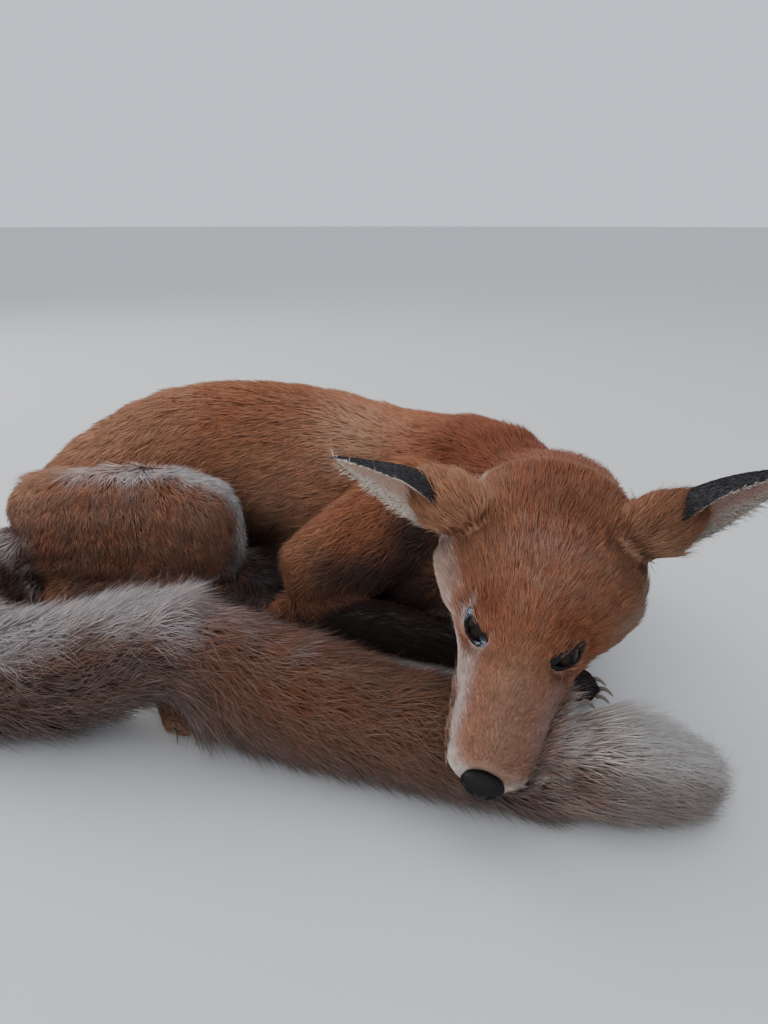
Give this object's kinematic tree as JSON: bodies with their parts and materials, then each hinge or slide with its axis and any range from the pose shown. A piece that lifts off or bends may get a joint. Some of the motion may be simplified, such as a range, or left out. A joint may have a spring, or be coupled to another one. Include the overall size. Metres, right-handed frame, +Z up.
{
  "type": "taxidermy red fox",
  "caption": "Life-size taxidermy red fox lying curled on its side, with its head resting on its bushy tail and forepaws.",
  "frame": {"origin": "centre of the bounding box, on the surface the fox lies on", "axes": "+Z up, +X from the rump toward the shoulders, +Y toward the fox's back; the head and tail lie at -Y"},
  "size_m": [0.5806, 0.4672, 0.1955],
  "materials": {
    "coat_rust": "soft fur, rusty orange with paler tips",
    "coat_brown": "soft grizzled fur",
    "coat_grey_brown": "long soft grizzled fur",
    "coat_dark_brown": "short dark fur",
    "coat_cream": "soft pale fur",
    "coat_black": "short velvety fur, black behind and cream inside",
    "nose_leather": "fine pebbled, slightly glossy",
    "glass_eye": "polished dark glass",
    "claw_horn": "smooth horn"
  },
  "bodies": {
    "root": {"chest": "coat_rust", "ear_left": "coat_black", "ear_right": "coat_black", "eye_left": "glass_eye", "eye_right": "glass_eye", "fore_paw_left": "coat_dark_brown", "fore_paw_right": "coat_dark_brown", "forearm_left": "coat_dark_brown", "forearm_right": "coat_dark_brown", "head": "coat_rust", "hind_foot_left": "coat_brown", "hind_foot_right": "coat_brown", "loin": "coat_rust", "lower_jaw": "coat_cream", "neck": "coat_rust", "nose": "nose_leather", "rump": "coat_rust", "shank_left": "coat_rust", "shank_right": "coat_brown", "tail_bend": "coat_grey_brown", "tail_front": "coat_brown", "tail_middle": "coat_brown", "tail_root": "coat_grey_brown", "tail_tip": "coat_cream", "thigh_left": "coat_rust", "thigh_right": "coat_brown", "upper_arm_left": "coat_rust", "upper_arm_right": "coat_rust"}
  },
  "joints": []
}
